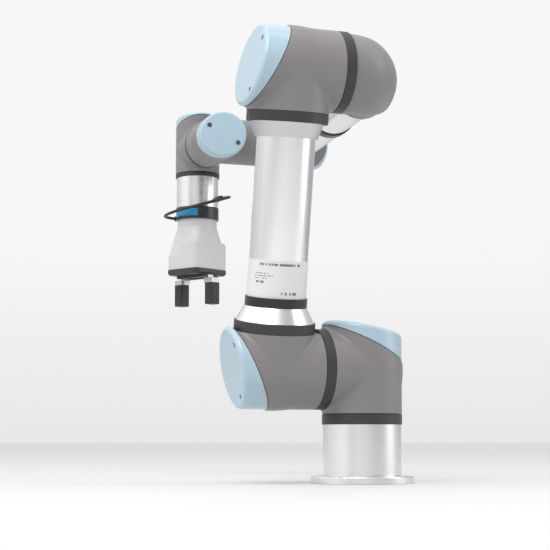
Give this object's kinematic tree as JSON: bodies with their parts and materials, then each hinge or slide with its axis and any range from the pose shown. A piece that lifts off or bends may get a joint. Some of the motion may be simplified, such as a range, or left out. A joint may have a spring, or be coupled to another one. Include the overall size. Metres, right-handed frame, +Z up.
{
  "type": "collaborative robot arm",
  "caption": "Jointed desktop-reach robot arm on a round bolted base, with sloping-capped elbow joints, an aluminium upper arm tube and a parallel electric gripper.",
  "frame": {"origin": "centre of the base's underside, on the joint 1 axis, with the arm in the pose of the picture", "axes": "+Z up along joint 1, +Y the way the forearm reaches, -X the side of the shoulder on which the upper arm stands"},
  "size_m": [0.2829, 0.5994, 0.6377],
  "materials": {
    "housing_grey": "satin powder coat over cast aluminium",
    "cap_blue": "smooth satin-gloss moulded plastic",
    "seal_black": "matt rubber gasket",
    "screw_steel": "dark socket-head screw",
    "drive_metal": "turned, sealed inside",
    "ring_charcoal": "matt charcoal ring",
    "machined_aluminium": "turned, clear anodised",
    "tube_aluminium": "polished extruded tube",
    "band_black": "smooth black band",
    "label_white": "matt pale film sleeve",
    "cover_metal": "plain sheet",
    "socket_black": "moulded connector",
    "coupling_dark": "dark anodised",
    "light_blue": "translucent light window, lit",
    "gripper_white": "light satin paint",
    "plate_dark": "dark satin",
    "carriage_steel": "ground steel",
    "finger_black": "matt black block",
    "plug_black": "moulded plug",
    "cable_black": "jacketed lead"
  },
  "bodies": {
    "base": {"base_housing": "machined_aluminium", "base_bottom_cover": "cover_metal", "base_cable_socket": "socket_black", "joint_1_ring": "ring_charcoal"},
    "shoulder": {"shoulder_housing": "housing_grey", "shoulder_cap": "cap_blue", "shoulder_cap_seal": "seal_black", "shoulder_cap_screws": "screw_steel", "joint_1_drive": "drive_metal", "joint_2_ring": "ring_charcoal"},
    "upper_arm": {"lower_housing": "housing_grey", "lower_cap": "cap_blue", "elbow_housing": "housing_grey", "elbow_cap": "cap_blue", "upper_arm_cap_seals": "seal_black", "upper_arm_cap_screws": "screw_steel", "arm_tube_rings": "ring_charcoal", "arm_tube_cones": "tube_aluminium", "arm_tube": "tube_aluminium", "arm_tube_band": "band_black", "arm_label_sleeve": "label_white", "joint_2_drive": "drive_metal", "joint_3_drive": "drive_metal"},
    "forearm": {"joint_3_ring": "ring_charcoal", "forearm_dome": "housing_grey", "forearm_seam_ring": "seal_black", "forearm_cone": "tube_aluminium", "forearm_tube": "tube_aluminium", "forearm_band": "band_black", "forearm_collar": "tube_aluminium", "wrist_end_housing": "housing_grey", "wrist_end_cap": "cap_blue", "wrist_end_cap_seal": "seal_black", "wrist_end_cap_screws": "screw_steel", "joint_4_drive": "drive_metal"},
    "wrist_1": {"joint_4_ring": "ring_charcoal", "wrist_1_housing": "housing_grey", "wrist_1_cap": "cap_blue", "wrist_1_cap_seal": "seal_black", "wrist_1_cap_screws": "screw_steel", "joint_5_drive": "drive_metal"},
    "wrist_2": {"joint_5_ring": "ring_charcoal", "wrist_2_housing": "housing_grey", "wrist_2_cap": "cap_blue", "wrist_2_cap_seal": "seal_black", "wrist_2_cap_screws": "screw_steel", "joint_6_drive": "drive_metal"},
    "tool": {"joint_6_ring": "ring_charcoal", "tool_flange": "machined_aluminium", "gripper_coupling": "coupling_dark", "gripper_light": "light_blue", "gripper_body": "gripper_white", "gripper_motor": "drive_metal", "gripper_base_plate": "plate_dark", "cable_plugs": "plug_black", "gripper_cable": "cable_black"},
    "left_jaw": {"carriage_left": "carriage_steel", "finger_left": "finger_black"},
    "right_jaw": {"carriage_right": "carriage_steel", "finger_right": "finger_black"}
  },
  "joints": [
    {"name": "joint_1", "type": "hinge", "parent": "base", "child": "shoulder", "pos_m": [0, 0, 0.1625], "axis": [0, 0, 1], "range_deg": [-360, 360]},
    {"name": "joint_2", "type": "hinge", "parent": "shoulder", "child": "upper_arm", "pos_m": [-0.138, 0, 0.1625], "axis": [1, 0, 0], "range_deg": [-371, 349]},
    {"name": "joint_3", "type": "hinge", "parent": "upper_arm", "child": "forearm", "pos_m": [-0.138, -0.08109, 0.57969], "axis": [1, 0, 0], "range_deg": [-54, 225]},
    {"name": "joint_4", "type": "hinge", "parent": "forearm", "child": "wrist_1", "pos_m": [-0.0065, 0.31038, 0.55575], "axis": [-1, 0, 0], "range_deg": [-360, 360]},
    {"name": "joint_5", "type": "hinge", "parent": "wrist_1", "child": "wrist_2", "pos_m": [-0.1333, 0.31038, 0.55575], "axis": [0, 1, 0], "range_deg": [-360, 360]},
    {"name": "joint_6", "type": "hinge", "parent": "wrist_2", "child": "tool", "pos_m": [-0.1333, 0.41008, 0.55575], "axis": [0, 0, -1], "range_deg": [-360, 360]},
    {"name": "left_jaw_slide", "type": "slide", "parent": "tool", "child": "left_jaw", "axis": [0.4848, -0.8746, 0], "range_m": [0, 0.02]},
    {"name": "right_jaw_slide", "type": "slide", "parent": "tool", "child": "right_jaw", "axis": [-0.4848, 0.8746, 0], "range_m": [0, 0.02]}
  ],
  "couplings": [
    {"joint": "right_jaw_slide", "follows": "left_jaw_slide", "ratio": 1}
  ]
}
